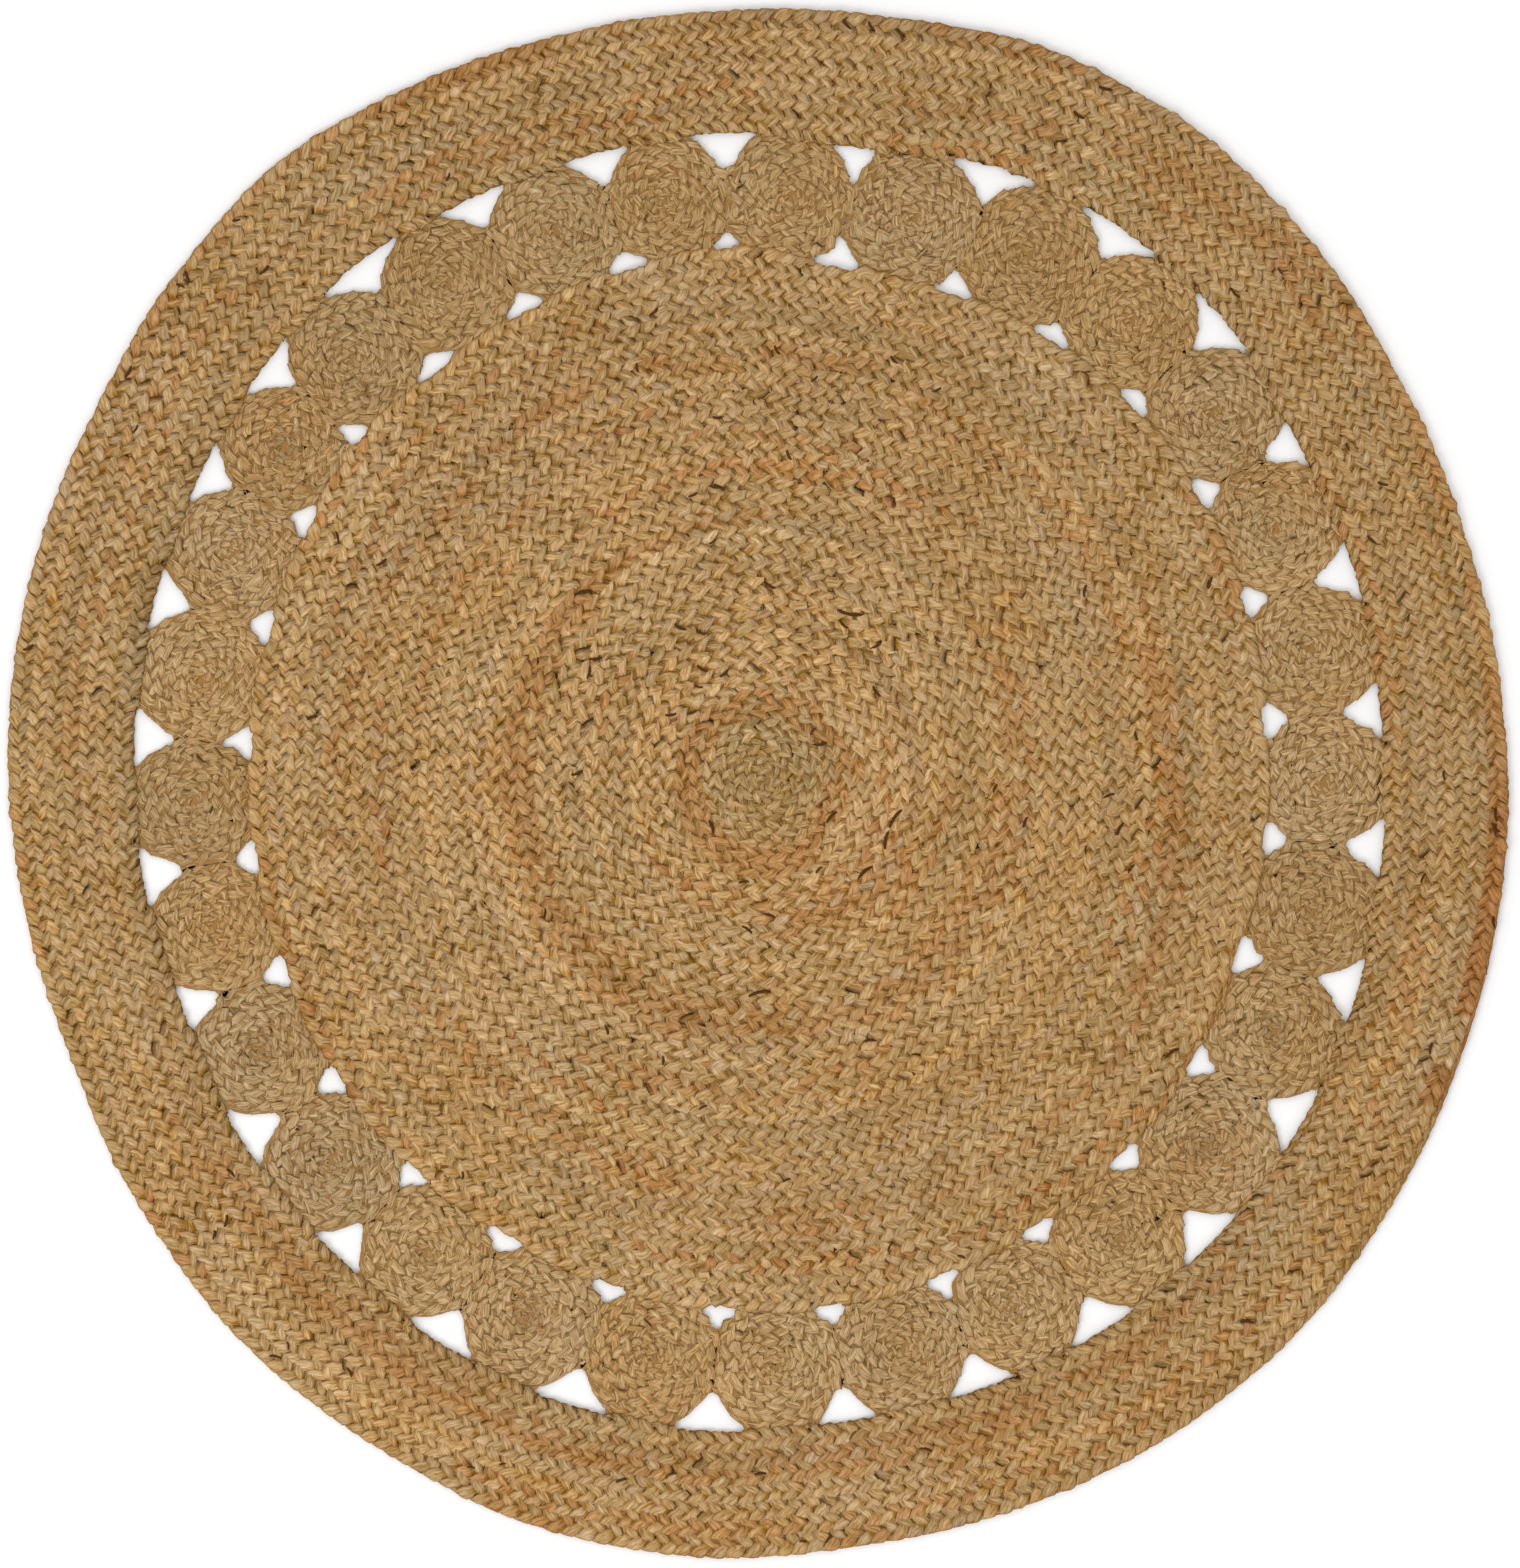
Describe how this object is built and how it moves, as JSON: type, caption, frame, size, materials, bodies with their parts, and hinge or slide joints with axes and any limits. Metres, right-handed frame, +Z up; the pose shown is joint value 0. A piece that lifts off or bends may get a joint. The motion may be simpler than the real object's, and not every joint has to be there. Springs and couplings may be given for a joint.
{
  "type": "round braided jute rug",
  "caption": "Flat round floor rug of coiled jute braid: a wide centre disc, an openwork ring of small coiled medallions around it, and a braided outer band.",
  "frame": {"origin": "middle of the rug's flat underside, on the floor that it lies on", "axes": "+Z up through the thickness, +Y towards the top of the rug as seen from above, +X to the right"},
  "size_m": [1.5002, 1.5476, 0.009],
  "materials": {
    "jute_braid": "natural undyed jute, straw and golden tan with rust and grey flecks, matt with a soft sheen on the strands",
    "fine_jute_braid": "natural undyed jute in a finer braid, a little greyer, matt"
  },
  "bodies": {
    "root": {"centre_disc": "jute_braid", "medallion_01": "fine_jute_braid", "medallion_02": "fine_jute_braid", "medallion_03": "fine_jute_braid", "medallion_04": "fine_jute_braid", "medallion_05": "fine_jute_braid", "medallion_06": "fine_jute_braid", "medallion_07": "fine_jute_braid", "medallion_08": "fine_jute_braid", "medallion_09": "fine_jute_braid", "medallion_10": "fine_jute_braid", "medallion_11": "fine_jute_braid", "medallion_12": "fine_jute_braid", "medallion_13": "fine_jute_braid", "medallion_14": "fine_jute_braid", "medallion_15": "fine_jute_braid", "medallion_16": "fine_jute_braid", "medallion_17": "fine_jute_braid", "medallion_18": "fine_jute_braid", "medallion_19": "fine_jute_braid", "medallion_20": "fine_jute_braid", "medallion_21": "fine_jute_braid", "medallion_22": "fine_jute_braid", "medallion_23": "fine_jute_braid", "medallion_24": "fine_jute_braid", "medallion_25": "fine_jute_braid", "medallion_26": "fine_jute_braid", "medallion_27": "fine_jute_braid", "medallion_28": "fine_jute_braid", "medallion_29": "fine_jute_braid", "outer_band": "jute_braid"}
  },
  "joints": []
}
